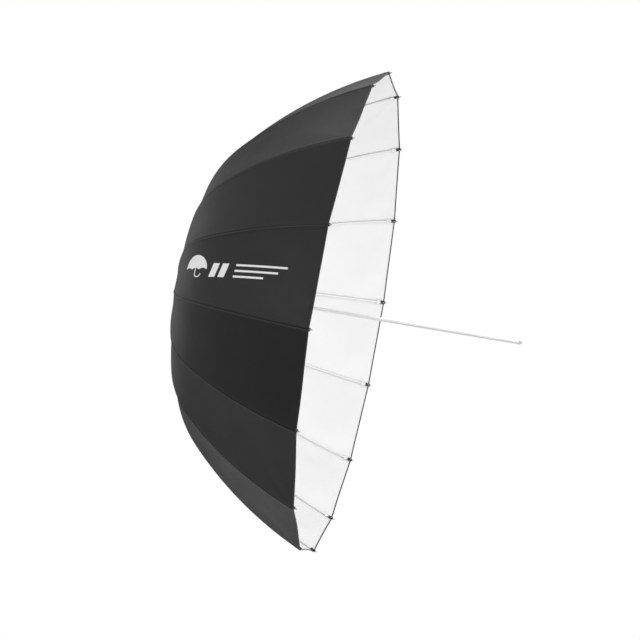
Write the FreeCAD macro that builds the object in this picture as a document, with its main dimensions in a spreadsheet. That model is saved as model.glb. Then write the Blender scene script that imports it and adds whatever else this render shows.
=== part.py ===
import FreeCAD, Part
import math
import os
import Sketcher
from FreeCAD import Placement, Rotation, Vector

# A deep parabolic umbrella reflector, lying with its shaft along X.  The mouth faces +X and
# the origin is on the shaft's axis, where a stand's bracket grips the shaft.  Millimetres.

SIZES = [
    ("rib_count", 16),
    # the outer surface of the cloth over a rib: three tangent arcs from crown to rim
    ("apex_place", -657.4),
    ("apex_radius", 12),
    ("apex_heading", 84.1),
    ("arc_one_radius", 1077),
    ("arc_one_angle", 11.95),
    ("arc_two_radius", 281.6),
    ("arc_two_angle", 27.11),
    ("arc_three_radius", 851.5),
    ("arc_three_angle", 21.8),
    # cloth
    ("cloth_thickness", 1),
    ("cloth_gap", 0.3),
    ("cloth_start_radius", 18),
    ("cloth_sag_share", 0.006),
    # shaft
    ("shaft_radius", 4),
    ("shaft_bore", 3),
    ("shaft_back", 662.5),
    ("shaft_length", 752.5),
    ("shaft_chamfer", 0.5),
    ("clip_groove_start", 405),
    ("clip_groove_end", 406.2),
    ("clip_groove_floor", 3.6),
    ("catch_notch_start", 147.3),
    ("catch_notch_end", 151.3),
    ("catch_notch_floor", 3.5),
    ("shaft_pin_place", 20.1),
    # clip that stops the folded runner
    ("clip_inner", 3.65),
    ("clip_outer", 4.8),
    ("clip_thickness", 1),
    ("clip_turn", 300),
    # plug in the free end of the shaft
    ("plug_radius", 2.95),
    ("plug_length", 12),
    ("plug_head_radius", 3.95),
    ("plug_length_with_head", 18),
    ("plug_bevel", 0.6),
    ("plug_bevel_radius", 2.2),
    ("plug_bevel_place", 13),
    # crown notch, which holds the ribs' inner ends
    ("notch_back", -659.37),
    ("notch_bore", 4.05),
    ("notch_radius", 16.5),
    ("notch_groove_start", 5.2),
    ("notch_groove_end", 6.8),
    ("notch_groove_floor", 13.2),
    ("notch_thickness", 12),
    ("notch_collar_radius", 8),
    ("notch_collar_end", 22),
    ("notch_slot_floor", 10.5),
    ("notch_slot_top", 18),
    ("notch_slot_half_width", 1.25),
    ("notch_pin_place", 16.97),
    # wires that the ribs and the stretchers hinge on
    ("hinge_radius", 14),
    ("wire_radius", 0.6),
    # cap over the middle of the cloth
    ("cap_back", -664.6),
    ("cap_flat_radius", 9),
    ("cap_shoulder", 1.6),
    ("cap_shoulder_radius", 18),
    ("cap_edge", 5.6),
    ("cap_edge_radius", 23.6),
    ("cap_depth", 7.4),
    ("cap_radius", 24),
    ("cap_inner_radius", 22.8),
    ("cap_floor", 5),
    ("cap_floor_radius", 17),
    ("cap_bore", 4.05),
    ("cap_bore_start", 2),
    # cross pins
    ("pin_radius", 1),
    ("pin_hole_radius", 1.03),
    ("cross_cut", 60),
    ("crown_pin_length", 15.8),
    ("lock_pin_length", 8.6),
    # runner
    ("runner_back", -528.64),
    ("runner_bore", 4.06),
    ("runner_flange_radius", 16.5),
    ("runner_groove_start", 3.7),
    ("runner_groove_end", 5.3),
    ("runner_groove_floor", 13.2),
    ("runner_hinge_place", 4.5),
    ("runner_flange_end", 9),
    ("runner_neck_radius", 11.5),
    ("runner_neck_end", 11.5),
    ("runner_barrel_radius", 9),
    ("runner_lip_start", 37.6),
    ("runner_lip_radius", 10.2),
    ("runner_length", 40),
    ("runner_slot_floor", 10.3),
    ("runner_slot_top", 18),
    ("runner_slot_half_width", 1.4),
    ("runner_slot_depth", 7.4),
    ("window_start", 12.4),
    ("window_end", 17.8),
    ("window_half_width", 2.6),
    ("window_top", 12),
    ("ear_start", 19.5),
    ("ear_end", 25.5),
    ("ear_foot", 6.4),
    ("ear_top", 13.8),
    ("ear_width", 8.6),
    ("ear_slot_floor", 9.4),
    ("lever_pin_place", 22.5),
    ("lever_pin_height", 11.8),
    ("spring_place", 30),
    ("spring_well_radius", 2.2),
    ("spring_well_floor", 6.6),
    ("spring_well_depth", 6),
    # lock lever
    ("lever_width", 4.6),
    ("nose_start", 14.2),
    ("nose_end", 16.8),
    ("nose_foot", 4.15),
    ("nose_shoulder", 9.6),
    ("lever_belly_place", 20),
    ("lever_belly", 10.1),
    ("lever_waist_place", 26),
    ("lever_waist", 10.4),
    ("lever_seat_place", 33),
    ("lever_seat", 11.1),
    ("lever_tip_place", 36),
    ("lever_tip_foot", 12),
    ("lever_tip_top", 13.8),
    ("lever_back_place", 29),
    ("lever_back", 13),
    ("lever_hump_place", 24),
    ("lever_hump", 13.8),
    ("lever_nose_top_place", 18),
    ("lever_nose_top", 12.6),
    ("lever_front_top", 11.2),
    # spring under the lever
    ("coil_radius", 1.6),
    ("coil_wire_radius", 0.22),
    ("coil_pitch", 0.72),
    ("coil_height", 3.6),
    ("coil_foot", 6.88),
    # ribs
    ("rib_offset", 3.8),
    ("rod_radius", 2),
    ("root_trim", 0.82),
    ("tip_trim", 0.25),
    ("fitting_bore", 2.05),
    ("eye_radius", 2.2),
    ("eye_hole_radius", 0.95),
    ("eye_thickness", 2),
    ("eye_plate_length", 9),
    ("ferrule_radius", 2.4),
    ("ferrule_tilt", 0.53),
    ("ferrule_start", 8),
    ("ferrule_length", 16),
    ("ferrule_bore_length", 12),
    ("saddle_distance", 190),
    ("saddle_radius", 2.5),
    ("saddle_length", 12),
    ("boss_radius", 2.2),
    ("boss_height", 2.6),
    ("tip_start", 11),
    ("tip_radius", 2.4),
    ("tip_length", 13.2),
    ("tip_round", 0.8),
    ("tip_bore_radius", 2.1),
    ("tip_bore_depth", 9),
    ("tip_pin_radius", 1.2),
    ("tip_pin_hole", 1.23),
    ("tip_pin_start", 1.5),
    ("tip_pin_length", 8.2),
    # stretchers
    ("stretcher_length", 208),
    ("stretcher_half_height", 1.9),
    ("stretcher_thickness", 2),
    ("stretcher_side_shift", 3.8),
    ("rivet_hole_radius", 1),
    ("rivet_radius", 0.97),
    ("rivet_head_radius", 1.7),
    ("rivet_head_height", 0.7),
    ("channel_half_width", 0.6),
    ("channel_start", 9),
    ("channel_end", 198),
    ("channel_web", 1.1),
]

doc = FreeCAD.newDocument("umbrella_reflector")
sheet = doc.addObject("Spreadsheet::Sheet", "Sizes")
for row, (alias, number) in enumerate(SIZES, start=1):
    sheet.set(f"A{row}", alias)
    sheet.set(f"B{row}", str(number))
    sheet.setAlias(f"B{row}", alias)
doc.recompute()


def size(alias):
    """The value of one cell."""
    return float(sheet.get(alias))


def amount(words):
    """The value of a sum such as "shaft_bore + cloth_gap"."""
    total, sign = 0.0, 1
    for word in words.split():
        if word in "+-":
            sign = 1 if word == "+" else -1
        else:
            total += sign * size(word)
            sign = 1
    return total


def formula(words):
    """The same sum as an expression that reads the sheet."""
    return " ".join(w if w in "+-" else f"Sizes.{w}" for w in words.split())


def bind(thing, **properties):
    for name, words in properties.items():
        thing.setExpression(name, formula(words))
    return thing


# ---- sketches and sketch-based bodies ----


def new_body(label):
    body = doc.addObject("PartDesign::Body", label)
    body.Label = label
    return body


def new_sketch(body, name, role, lift=0.0):
    sketch = body.newObject("Sketcher::SketchObject", name)
    plane = [f for f in body.Origin.OriginFeatures if f.Role == role][0]
    sketch.AttachmentSupport = [(plane, "")]
    sketch.MapMode = "FlatFace"
    sketch.AttachmentOffset = Placement(Vector(0, 0, lift), Rotation())
    return sketch


def fix_point(sketch, line, across, up):
    """Holds a line's first point at the two distances from the sketch's origin."""
    for kind, axis, words in (("DistanceX", -2, across), ("DistanceY", -1, up)):
        if words == "0":
            sketch.addConstraint(Sketcher.Constraint("PointOnObject", line, 1, axis))
            continue
        distance = amount(words)
        index = sketch.addConstraint(
            Sketcher.Constraint(kind, -1, 1, line, 1, distance)
        )
        sketch.setExpression(f"Constraints[{index}]", formula(words))


def outline(sketch, corners):
    """A closed polygon whose corners are pairs of sums of cells, or "0" for an axis."""
    flat = [
        tuple(0.0 if words == "0" else amount(words) for words in corner)
        for corner in corners
    ]
    count = len(corners)
    for i in range(count):
        first = Vector(*flat[i], 0)
        second = Vector(*flat[(i + 1) % count], 0)
        sketch.addGeometry(Part.LineSegment(first, second), False)
    for i in range(count):
        sketch.addConstraint(
            Sketcher.Constraint("Coincident", i, 2, (i + 1) % count, 1)
        )
    for i, (across, up) in enumerate(corners):
        fix_point(sketch, i, across, up)


def mirrored_box(sketch, half_width, low, high):
    """A rectangle centred on the sketch's vertical axis."""
    outline(
        sketch,
        [
            (f"- {half_width}", low),
            (half_width, low),
            (half_width, high),
            (f"- {half_width}", high),
        ],
    )


def circle(sketch, across, up, radius):
    index = sketch.addGeometry(
        Part.Circle(
            Vector(
                0 if across == "0" else amount(across),
                0 if up == "0" else amount(up),
                0,
            ),
            Vector(0, 0, 1),
            amount(radius),
        ),
        False,
    )
    for kind, axis, words in (("DistanceX", -2, across), ("DistanceY", -1, up)):
        if words == "0":
            sketch.addConstraint(Sketcher.Constraint("PointOnObject", index, 3, axis))
            continue
        place = sketch.addConstraint(
            Sketcher.Constraint(kind, -1, 1, index, 3, amount(words))
        )
        sketch.setExpression(f"Constraints[{place}]", formula(words))
    wide = sketch.addConstraint(Sketcher.Constraint("Radius", index, amount(radius)))
    sketch.setExpression(f"Constraints[{wide}]", formula(radius))


def revolve(body, corners):
    """Turns an outline in the XZ plane about X."""
    sketch = new_sketch(body, body.Label + "_outline", "XZ_Plane")
    outline(sketch, corners)
    turned = body.newObject("PartDesign::Revolution", body.Label + "_turned")
    turned.Profile = sketch
    turned.ReferenceAxis = (sketch, ["H_Axis"])
    turned.Angle = 360
    doc.recompute()
    return turned


def cut(body, sketch, name, length, way):
    """A pocket: along the sketch's normal (1), against it (-1) or both ways (0)."""
    doc.recompute()
    before = body.Shape.Volume
    pocket = body.newObject("PartDesign::Pocket", name)
    pocket.Profile = sketch
    pocket.Type = 0
    bind(pocket, Length=length)
    pocket.Midplane = way == 0
    pocket.Reversed = way == 1
    doc.recompute()
    if body.Shape.Volume > before - 1e-3:
        raise RuntimeError(name + " removes nothing")
    return pocket


def round_array(body, feature):
    """Repeats a feature about X, once for each rib."""
    before = body.Shape.Volume
    pattern = body.newObject("PartDesign::PolarPattern", feature.Name + "_ring")
    pattern.Originals = [feature]
    axis = [f for f in body.Origin.OriginFeatures if f.Role == "X_Axis"][0]
    pattern.Axis = (axis, [""])
    pattern.Angle = 360
    bind(pattern, Occurrences="rib_count")
    body.Tip = pattern
    doc.recompute()
    if body.Shape.Volume > before - 1e-3:
        raise RuntimeError(feature.Name + " wasn't repeated")
    return pattern


# ---- the ribs' centreline and the cloth over it ----


def arcs(offset):
    """Centre, radius, first heading and turn of each arc, in the plane (X, radius)."""
    heading = math.radians(size("apex_heading"))
    across, up = size("apex_place"), size("apex_radius")
    found = []
    for name in ("one", "two", "three"):
        radius = size(f"arc_{name}_radius")
        turn = math.radians(size(f"arc_{name}_angle"))
        centre = (
            across + radius * math.sin(heading),
            up - radius * math.cos(heading),
        )
        found.append((centre, radius - offset, heading, turn))
        heading -= turn
        across = centre[0] - radius * math.sin(heading)
        up = centre[1] + radius * math.cos(heading)
    return found


def along(distance, offset):
    """X, radius and heading at a distance from the start of a line inside the cloth."""
    for place, (centre, radius, heading, turn) in enumerate(arcs(offset)):
        if distance <= radius * turn or place == 2:
            now = heading - distance / radius
            return (
                centre[0] - radius * math.sin(now),
                centre[1] + radius * math.cos(now),
                now,
            )
        distance -= radius * turn


def whole_length(offset):
    return sum(radius * turn for _, radius, _, turn in arcs(offset))


def distance_at_radius(wanted, offset):
    low, high = 0.0, whole_length(offset)
    for _ in range(60):
        middle = (low + high) / 2
        if along(middle, offset)[1] < wanted:
            low = middle
        else:
            high = middle
    return low


def facing(heading):
    """Turns X to a heading in the XZ plane, and leaves Y where it is."""
    return Rotation(Vector(0, 1, 0), -math.degrees(heading))


LAY_ON_X = Rotation(Vector(0, 1, 0), 90)
LAY_ON_Y = Rotation(Vector(1, 0, 0), -90)


def cylinder(name, radius, height, base, rotation):
    """A cylinder whose own axis Z is turned by rotation."""
    made = doc.addObject("Part::Cylinder", name)
    bind(made, Radius=radius, Height=height)
    made.Placement = Placement(base, rotation)
    return made


def fuse(name, pieces):
    made = doc.addObject("Part::MultiFuse", name)
    made.Shapes = pieces
    return made


def take_away(name, base, tools):
    """Cuts every tool from the base, one after another."""
    for place, tool in enumerate(tools):
        step = name if place == len(tools) - 1 else f"{name}_step_{place + 1}"
        made = doc.addObject("Part::Cut", step)
        made.Base = base
        made.Tool = tool
        base = made
    return base


# ---- shaft and what is fixed on it ----

shaft = new_body("shaft")
revolve(
    shaft,
    [
        ("0", "shaft_bore"),
        ("shaft_length", "shaft_bore"),
        ("shaft_length", "shaft_radius - shaft_chamfer"),
        ("shaft_length - shaft_chamfer", "shaft_radius"),
        ("clip_groove_end", "shaft_radius"),
        ("clip_groove_end", "clip_groove_floor"),
        ("clip_groove_start", "clip_groove_floor"),
        ("clip_groove_start", "shaft_radius"),
        ("0", "shaft_radius"),
    ],
)
sketch = new_sketch(shaft, "shaft_pin_hole_sketch", "XZ_Plane")
circle(sketch, "shaft_pin_place", "0", "pin_hole_radius")
cut(shaft, sketch, "shaft_pin_hole", "cross_cut", 0)
sketch = new_sketch(shaft, "catch_notch_sketch", "XZ_Plane")
outline(
    sketch,
    [
        ("catch_notch_start", "catch_notch_floor"),
        ("catch_notch_end", "catch_notch_floor"),
        ("catch_notch_end", "shaft_radius + shaft_chamfer"),
        ("catch_notch_start", "shaft_radius + shaft_chamfer"),
    ],
)
cut(shaft, sketch, "catch_notch", "cross_cut", 0)
shaft.Placement = Placement(Vector(-size("shaft_back"), 0, 0), Rotation())

plug = new_body("shaft_end_cap")
revolve(
    plug,
    [
        ("0", "0"),
        ("plug_length_with_head", "0"),
        ("plug_length_with_head", "plug_bevel_radius"),
        ("plug_bevel_place", "plug_head_radius"),
        ("plug_length", "plug_head_radius"),
        ("plug_length", "plug_radius"),
        ("0", "plug_radius"),
    ],
)
shaft_front = size("shaft_length") - size("shaft_back")
plug.Placement = Placement(
    Vector(shaft_front - size("plug_length"), 0, 0), Rotation()
)

notch = new_body("crown_notch")
revolve(
    notch,
    [
        ("0", "notch_bore"),
        ("notch_collar_end", "notch_bore"),
        ("notch_collar_end", "notch_collar_radius"),
        ("notch_thickness", "notch_collar_radius"),
        ("notch_thickness", "notch_radius"),
        ("notch_groove_end", "notch_radius"),
        ("notch_groove_end", "notch_groove_floor"),
        ("notch_groove_start", "notch_groove_floor"),
        ("notch_groove_start", "notch_radius"),
        ("0", "notch_radius"),
    ],
)
sketch = new_sketch(notch, "notch_pin_hole_sketch", "XZ_Plane")
circle(sketch, "notch_pin_place", "0", "pin_hole_radius")
cut(notch, sketch, "notch_pin_hole", "cross_cut", 0)
sketch = new_sketch(notch, "notch_slot_sketch", "YZ_Plane")
mirrored_box(sketch, "notch_slot_half_width", "notch_slot_floor", "notch_slot_top")
slot = cut(notch, sketch, "notch_slot", "notch_thickness", 1)
round_array(notch, slot)
notch.Placement = Placement(Vector(size("notch_back"), 0, 0), Rotation())

crown_wire = doc.addObject("Part::Torus", "crown_wire")
bind(crown_wire, Radius1="hinge_radius", Radius2="wire_radius")
hinge_distance = distance_at_radius(size("hinge_radius"), size("rib_offset"))
hinge_x, hinge_r, hinge_heading = along(hinge_distance, size("rib_offset"))
crown_wire.Placement = Placement(Vector(hinge_x, 0, 0), LAY_ON_X)

cap = new_body("crown_cap")
revolve(
    cap,
    [
        ("0", "0"),
        ("cap_bore_start", "0"),
        ("cap_bore_start", "cap_bore"),
        ("cap_floor", "cap_bore"),
        ("cap_floor", "cap_floor_radius"),
        ("cap_depth", "cap_inner_radius"),
        ("cap_depth", "cap_radius"),
        ("cap_edge", "cap_edge_radius"),
        ("cap_shoulder", "cap_shoulder_radius"),
        ("0", "cap_flat_radius"),
    ],
)
cap.Placement = Placement(Vector(size("cap_back"), 0, 0), Rotation())

pin_x = size("shaft_pin_place") - size("shaft_back")
crown_pin = cylinder(
    "crown_pin",
    "pin_radius",
    "crown_pin_length",
    Vector(pin_x, -size("crown_pin_length") / 2, 0),
    LAY_ON_Y,
)

clip_x = size("clip_groove_start") - size("shaft_back") + 0.1
clip_disc = cylinder(
    "clip_disc", "clip_outer", "clip_thickness", Vector(clip_x, 0, 0), LAY_ON_X
)
bind(clip_disc, Angle="clip_turn")
clip_hole = cylinder(
    "clip_hole", "clip_inner", "clip_thickness", Vector(clip_x, 0, 0), LAY_ON_X
)
stop_clip = take_away("stop_clip", clip_disc, [clip_hole])

# ---- runner, its hinge wire and its lock ----

runner = new_body("runner")
revolve(
    runner,
    [
        ("0", "runner_bore"),
        ("runner_length", "runner_bore"),
        ("runner_length", "runner_lip_radius"),
        ("runner_lip_start", "runner_lip_radius"),
        ("runner_lip_start", "runner_barrel_radius"),
        ("runner_neck_end", "runner_barrel_radius"),
        ("runner_flange_end", "runner_neck_radius"),
        ("runner_flange_end", "runner_flange_radius"),
        ("runner_groove_end", "runner_flange_radius"),
        ("runner_groove_end", "runner_groove_floor"),
        ("runner_groove_start", "runner_groove_floor"),
        ("runner_groove_start", "runner_flange_radius"),
        ("0", "runner_flange_radius"),
    ],
)
sketch = new_sketch(runner, "ear_sketch", "XZ_Plane")
outline(
    sketch,
    [
        ("ear_start", "ear_foot"),
        ("ear_end", "ear_foot"),
        ("ear_end", "ear_top"),
        ("ear_start", "ear_top"),
    ],
)
ears = runner.newObject("PartDesign::Pad", "ears")
ears.Profile = sketch
ears.Midplane = True
bind(ears, Length="ear_width")
doc.recompute()
sketch = new_sketch(runner, "ear_slot_sketch", "YZ_Plane", lift=size("ear_start") - 0.5)
mirrored_box(sketch, "window_half_width", "ear_slot_floor", "ear_top")
cut(runner, sketch, "ear_slot", "ear_end - ear_start + pin_radius", 1)
sketch = new_sketch(runner, "window_sketch", "XY_Plane")
outline(
    sketch,
    [
        ("window_start", "- window_half_width"),
        ("window_end", "- window_half_width"),
        ("window_end", "window_half_width"),
        ("window_start", "window_half_width"),
    ],
)
cut(runner, sketch, "window", "window_top", 1)
sketch = new_sketch(runner, "spring_well_sketch", "XY_Plane", lift=size("spring_well_floor"))
circle(sketch, "spring_place", "0", "spring_well_radius")
cut(runner, sketch, "spring_well", "spring_well_depth", 1)
sketch = new_sketch(runner, "lever_pin_hole_sketch", "XZ_Plane")
circle(sketch, "lever_pin_place", "lever_pin_height", "pin_hole_radius")
cut(runner, sketch, "lever_pin_hole", "cross_cut", 0)
sketch = new_sketch(runner, "runner_slot_sketch", "YZ_Plane")
mirrored_box(sketch, "runner_slot_half_width", "runner_slot_floor", "runner_slot_top")
slot = cut(runner, sketch, "runner_slot", "runner_slot_depth", 1)
round_array(runner, slot)
runner_x = size("runner_back")
runner.Placement = Placement(Vector(runner_x, 0, 0), Rotation())

stretcher_x = runner_x + size("runner_hinge_place")
runner_wire = doc.addObject("Part::Torus", "runner_wire")
bind(runner_wire, Radius1="hinge_radius", Radius2="wire_radius")
runner_wire.Placement = Placement(Vector(stretcher_x, 0, 0), LAY_ON_X)

lever = new_body("lock_lever")
sketch = new_sketch(lever, "lever_sketch", "XZ_Plane")
outline(
    sketch,
    [
        ("nose_start", "nose_foot"),
        ("nose_end", "nose_foot"),
        ("nose_end", "nose_shoulder"),
        ("lever_belly_place", "lever_belly"),
        ("lever_waist_place", "lever_waist"),
        ("lever_seat_place", "lever_seat"),
        ("lever_tip_place", "lever_tip_foot"),
        ("lever_tip_place", "lever_tip_top"),
        ("lever_back_place", "lever_back"),
        ("lever_hump_place", "lever_hump"),
        ("lever_nose_top_place", "lever_nose_top"),
        ("nose_start", "lever_front_top"),
    ],
)
plate = lever.newObject("PartDesign::Pad", "lever_plate")
plate.Profile = sketch
plate.Midplane = True
bind(plate, Length="lever_width")
sketch = new_sketch(lever, "lever_hole_sketch", "XZ_Plane")
circle(sketch, "lever_pin_place", "lever_pin_height", "pin_hole_radius")
cut(lever, sketch, "lever_hole", "cross_cut", 0)
lever.Placement = Placement(Vector(runner_x, 0, 0), Rotation())

lock_pin = cylinder(
    "lock_pin",
    "pin_radius",
    "lock_pin_length",
    Vector(
        runner_x + size("lever_pin_place"),
        -size("lock_pin_length") / 2,
        size("lever_pin_height"),
    ),
    LAY_ON_Y,
)

coil_path = doc.addObject("Part::Helix", "coil_path")
bind(coil_path, Pitch="coil_pitch", Height="coil_height", Radius="coil_radius")
coil_section = doc.addObject("Part::Circle", "coil_section")
bind(coil_section, Radius="coil_wire_radius")
coil_base = Vector(runner_x + size("spring_place"), 0, size("coil_foot"))
coil_path.Placement = Placement(coil_base, Rotation())
coil_section.Placement = Placement(
    coil_base + Vector(size("coil_radius"), 0, 0), Rotation(Vector(1, 0, 0), 90)
)
doc.recompute()
lock_spring = doc.addObject("Part::Sweep", "lock_spring")
lock_spring.Sections = [coil_section]
lock_spring.Spine = (coil_path, ["Edge1"])
lock_spring.Solid = True
lock_spring.Frenet = True

# ---- one rib, straight up from the crown ----

offset = size("rib_offset")
rib_arcs = arcs(offset)
bends = []
for place, name in enumerate(("one", "two", "three")):
    centre, radius, heading, turn = rib_arcs[place]
    first = heading - (math.radians(size("root_trim")) if place == 0 else 0)
    last = heading - turn + (math.radians(size("tip_trim")) if place == 2 else 0)
    bend = doc.addObject("Part::Torus", f"rod_bend_{name}")
    bind(bend, Radius1=f"arc_{name}_radius - rib_offset", Radius2="rod_radius")
    turned = f"arc_{name}_angle"
    if place == 0:
        turned += " - root_trim"
    if place == 2:
        turned += " - tip_trim"
    bind(bend, Angle3=turned)
    bend.Placement = Placement(
        Vector(centre[0], 0, centre[1]),
        facing(last + math.pi / 2) * Rotation(Vector(1, 0, 0), 90),
    )
    bends.append(bend)
rod = fuse("rib_rod", bends)

hinge = Vector(hinge_x, 0, hinge_r)
root_turn = facing(hinge_heading - math.radians(size("ferrule_tilt")))
eye_plate = doc.addObject("Part::Box", "eye_plate")
bind(eye_plate, Length="eye_plate_length", Width="eye_thickness")
bind(eye_plate, Height="eye_radius + eye_radius")
eye_plate.Placement = Placement(
    hinge
    + root_turn.multVec(Vector(0, -size("eye_thickness") / 2, -size("eye_radius"))),
    root_turn,
)
eye_disc = cylinder(
    "eye_disc",
    "eye_radius",
    "eye_thickness",
    hinge - Vector(0, size("eye_thickness") / 2, 0),
    LAY_ON_Y,
)
ferrule = cylinder(
    "ferrule_barrel",
    "ferrule_radius",
    "ferrule_length",
    hinge + root_turn.multVec(Vector(size("ferrule_start"), 0, 0)),
    root_turn * LAY_ON_X,
)
eye_hole = cylinder(
    "eye_hole",
    "eye_hole_radius",
    "ferrule_length",
    hinge - Vector(0, size("ferrule_length") / 2, 0),
    LAY_ON_Y,
)
ferrule_bore = cylinder(
    "ferrule_bore",
    "fitting_bore",
    "ferrule_bore_length",
    hinge
    + root_turn.multVec(
        Vector(
            size("ferrule_start")
            + size("ferrule_length")
            - size("ferrule_bore_length")
            + 0.01,
            0,
            0,
        )
    ),
    root_turn * LAY_ON_X,
)
root_fitting = take_away(
    "rib_root_fitting",
    fuse("root_fitting_blank", [eye_plate, eye_disc, ferrule]),
    [eye_hole, ferrule_bore],
)

saddle_x, saddle_r, saddle_heading = along(
    hinge_distance + size("saddle_distance"), offset
)
saddle_point = Vector(saddle_x, 0, saddle_r)
saddle_turn = facing(saddle_heading)
saddle_foot = saddle_point - saddle_turn.multVec(Vector(size("saddle_length") / 2, 0, 0))
saddle_band = cylinder(
    "saddle_band", "saddle_radius", "saddle_length", saddle_foot, saddle_turn * LAY_ON_X
)
saddle_boss = cylinder(
    "saddle_boss", "boss_radius", "boss_height", saddle_point, LAY_ON_Y
)
saddle_bore = cylinder(
    "saddle_bore", "fitting_bore", "saddle_length", saddle_foot, saddle_turn * LAY_ON_X
)
saddle = take_away(
    "rib_saddle", fuse("saddle_blank", [saddle_band, saddle_boss]), [saddle_bore]
)

rim_x, rim_r, rim_heading = along(whole_length(offset), offset)
rim_point = Vector(rim_x, 0, rim_r)
rim_turn = facing(rim_heading)
tip_foot = rim_point - rim_turn.multVec(Vector(size("tip_start"), 0, 0))
tip_blank = cylinder("tip_blank", "tip_radius", "tip_length", tip_foot, rim_turn * LAY_ON_X)
tip_bore = cylinder(
    "tip_bore", "tip_bore_radius", "tip_bore_depth", tip_foot, rim_turn * LAY_ON_X
)
tip_hole = cylinder(
    "tip_hole",
    "tip_pin_hole",
    "tip_length",
    rim_point - rim_turn.multVec(Vector(size("tip_pin_start"), 0, 0)),
    rim_turn * LAY_ON_X,
)
tip_pin = cylinder(
    "tip_pin",
    "tip_pin_radius",
    "tip_pin_length",
    rim_point - rim_turn.multVec(Vector(size("tip_pin_start") - 0.02, 0, 0)),
    rim_turn * LAY_ON_X,
)
doc.recompute()
tip_rounded = doc.addObject("Part::Fillet", "tip_rounded")
tip_rounded.Base = tip_blank
tip_rounded.Edges = [
    (number, size("tip_round"), size("tip_round"))
    for number, edge in enumerate(tip_blank.Shape.Edges, start=1)
    if isinstance(edge.Curve, Part.Circle) and edge.CenterOfMass.distanceToPoint(tip_foot) > 1
]
tip = take_away("rib_tip", tip_rounded, [tip_bore, tip_hole])

# ---- one stretcher, from the runner's wire to the rib's saddle ----

bar = new_body("stretcher_bar")
sketch = new_sketch(bar, "bar_sketch", "XZ_Plane")
half, long = size("stretcher_half_height"), size("stretcher_length")
sketch.addGeometry(Part.LineSegment(Vector(0, -half, 0), Vector(long, -half, 0)), False)
sketch.addGeometry(
    Part.ArcOfCircle(
        Part.Circle(Vector(long, 0, 0), Vector(0, 0, 1), half), -math.pi / 2, math.pi / 2
    ),
    False,
)
sketch.addGeometry(Part.LineSegment(Vector(long, half, 0), Vector(0, half, 0)), False)
sketch.addGeometry(
    Part.ArcOfCircle(
        Part.Circle(Vector(0, 0, 0), Vector(0, 0, 1), half), math.pi / 2, 3 * math.pi / 2
    ),
    False,
)
for first, second, end in ((0, 1, 1), (1, 2, 1), (2, 3, 1), (3, 0, 1)):
    sketch.addConstraint(Sketcher.Constraint("Tangent", first, 2, second, end))
sketch.addConstraint(Sketcher.Constraint("Coincident", 3, 3, -1, 1))
sketch.addConstraint(Sketcher.Constraint("PointOnObject", 1, 3, -1))
reach = sketch.addConstraint(Sketcher.Constraint("DistanceX", -1, 1, 1, 3, long))
sketch.setExpression(f"Constraints[{reach}]", formula("stretcher_length"))
width = sketch.addConstraint(Sketcher.Constraint("Radius", 3, half))
sketch.setExpression(f"Constraints[{width}]", formula("stretcher_half_height"))
strip = bar.newObject("PartDesign::Pad", "bar_strip")
strip.Profile = sketch
strip.Midplane = True
bind(strip, Length="stretcher_thickness")
sketch = new_sketch(bar, "bar_holes_sketch", "XZ_Plane")
circle(sketch, "0", "0", "eye_hole_radius")
circle(sketch, "stretcher_length", "0", "rivet_hole_radius")
cut(bar, sketch, "bar_holes", "cross_cut", 0)
sketch = new_sketch(bar, "channel_sketch", "XY_Plane", lift=half)
outline(
    sketch,
    [
        ("channel_start", "- channel_half_width"),
        ("channel_end", "- channel_half_width"),
        ("channel_end", "channel_half_width"),
        ("channel_start", "channel_half_width"),
    ],
)
cut(bar, sketch, "channel", "stretcher_half_height + channel_web", -1)

rise = saddle_r - size("hinge_radius")
run = saddle_x - stretcher_x
stretcher_heading = math.atan2(rise, run)
lean = math.asin(size("stretcher_side_shift") / long)
stretcher_turn = facing(stretcher_heading) * Rotation(
    Vector(0, 0, 1), math.degrees(lean)
)
stretcher_foot = Vector(stretcher_x, 0, size("hinge_radius"))
bar.Placement = Placement(stretcher_foot, stretcher_turn)
rivet_place = stretcher_foot + stretcher_turn.multVec(
    Vector(long, -size("stretcher_thickness") / 2, 0)
)
rivet_shank = cylinder(
    "rivet_shank",
    "rivet_radius",
    "stretcher_thickness",
    rivet_place,
    stretcher_turn * LAY_ON_Y,
)
rivet_head = cylinder(
    "rivet_head",
    "rivet_head_radius",
    "rivet_head_height",
    stretcher_foot
    + stretcher_turn.multVec(Vector(long, size("stretcher_thickness") / 2, 0)),
    stretcher_turn * LAY_ON_Y,
)
rivet = fuse("stretcher_rivet", [rivet_shank, rivet_head])

# ---- one panel of cloth, between two ribs ----

step = 360 / size("rib_count")
half_step = math.radians(step / 2)
start = distance_at_radius(size("cloth_start_radius"), 0)
finish = whole_length(0)
STATIONS = 15
sections = []
for place in range(STATIONS):
    x, r, heading = along(start + (finish - start) * place / (STATIONS - 1), 0)
    # the inward normal of the panel's middle line
    inward = Vector(math.sin(heading), 0, -math.cos(heading))
    side = r * math.sin(half_step) - size("cloth_gap")
    high = r * math.cos(half_step)
    sag = inward * (size("cloth_sag_share") * r)
    through = inward * size("cloth_thickness")
    left, right = Vector(x, -side, high), Vector(x, side, high)
    middle = Vector(x, 0, high) + sag
    outer = Part.Arc(left, middle, right).toShape()
    inner = Part.Arc(right + through, middle + through, left + through).toShape()
    wire = Part.Wire(
        [
            outer,
            Part.LineSegment(right, right + through).toShape(),
            inner,
            Part.LineSegment(left + through, left).toShape(),
        ]
    )
    section = doc.addObject("Part::Feature", f"panel_section_{place + 1:02d}")
    section.Shape = wire
    sections.append(section)
panel = doc.addObject("Part::Loft", "panel")
panel.Sections = sections
panel.Solid = True
panel.Ruled = False

# ---- the round array: a rib, a stretcher and a panel at each step ----

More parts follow.
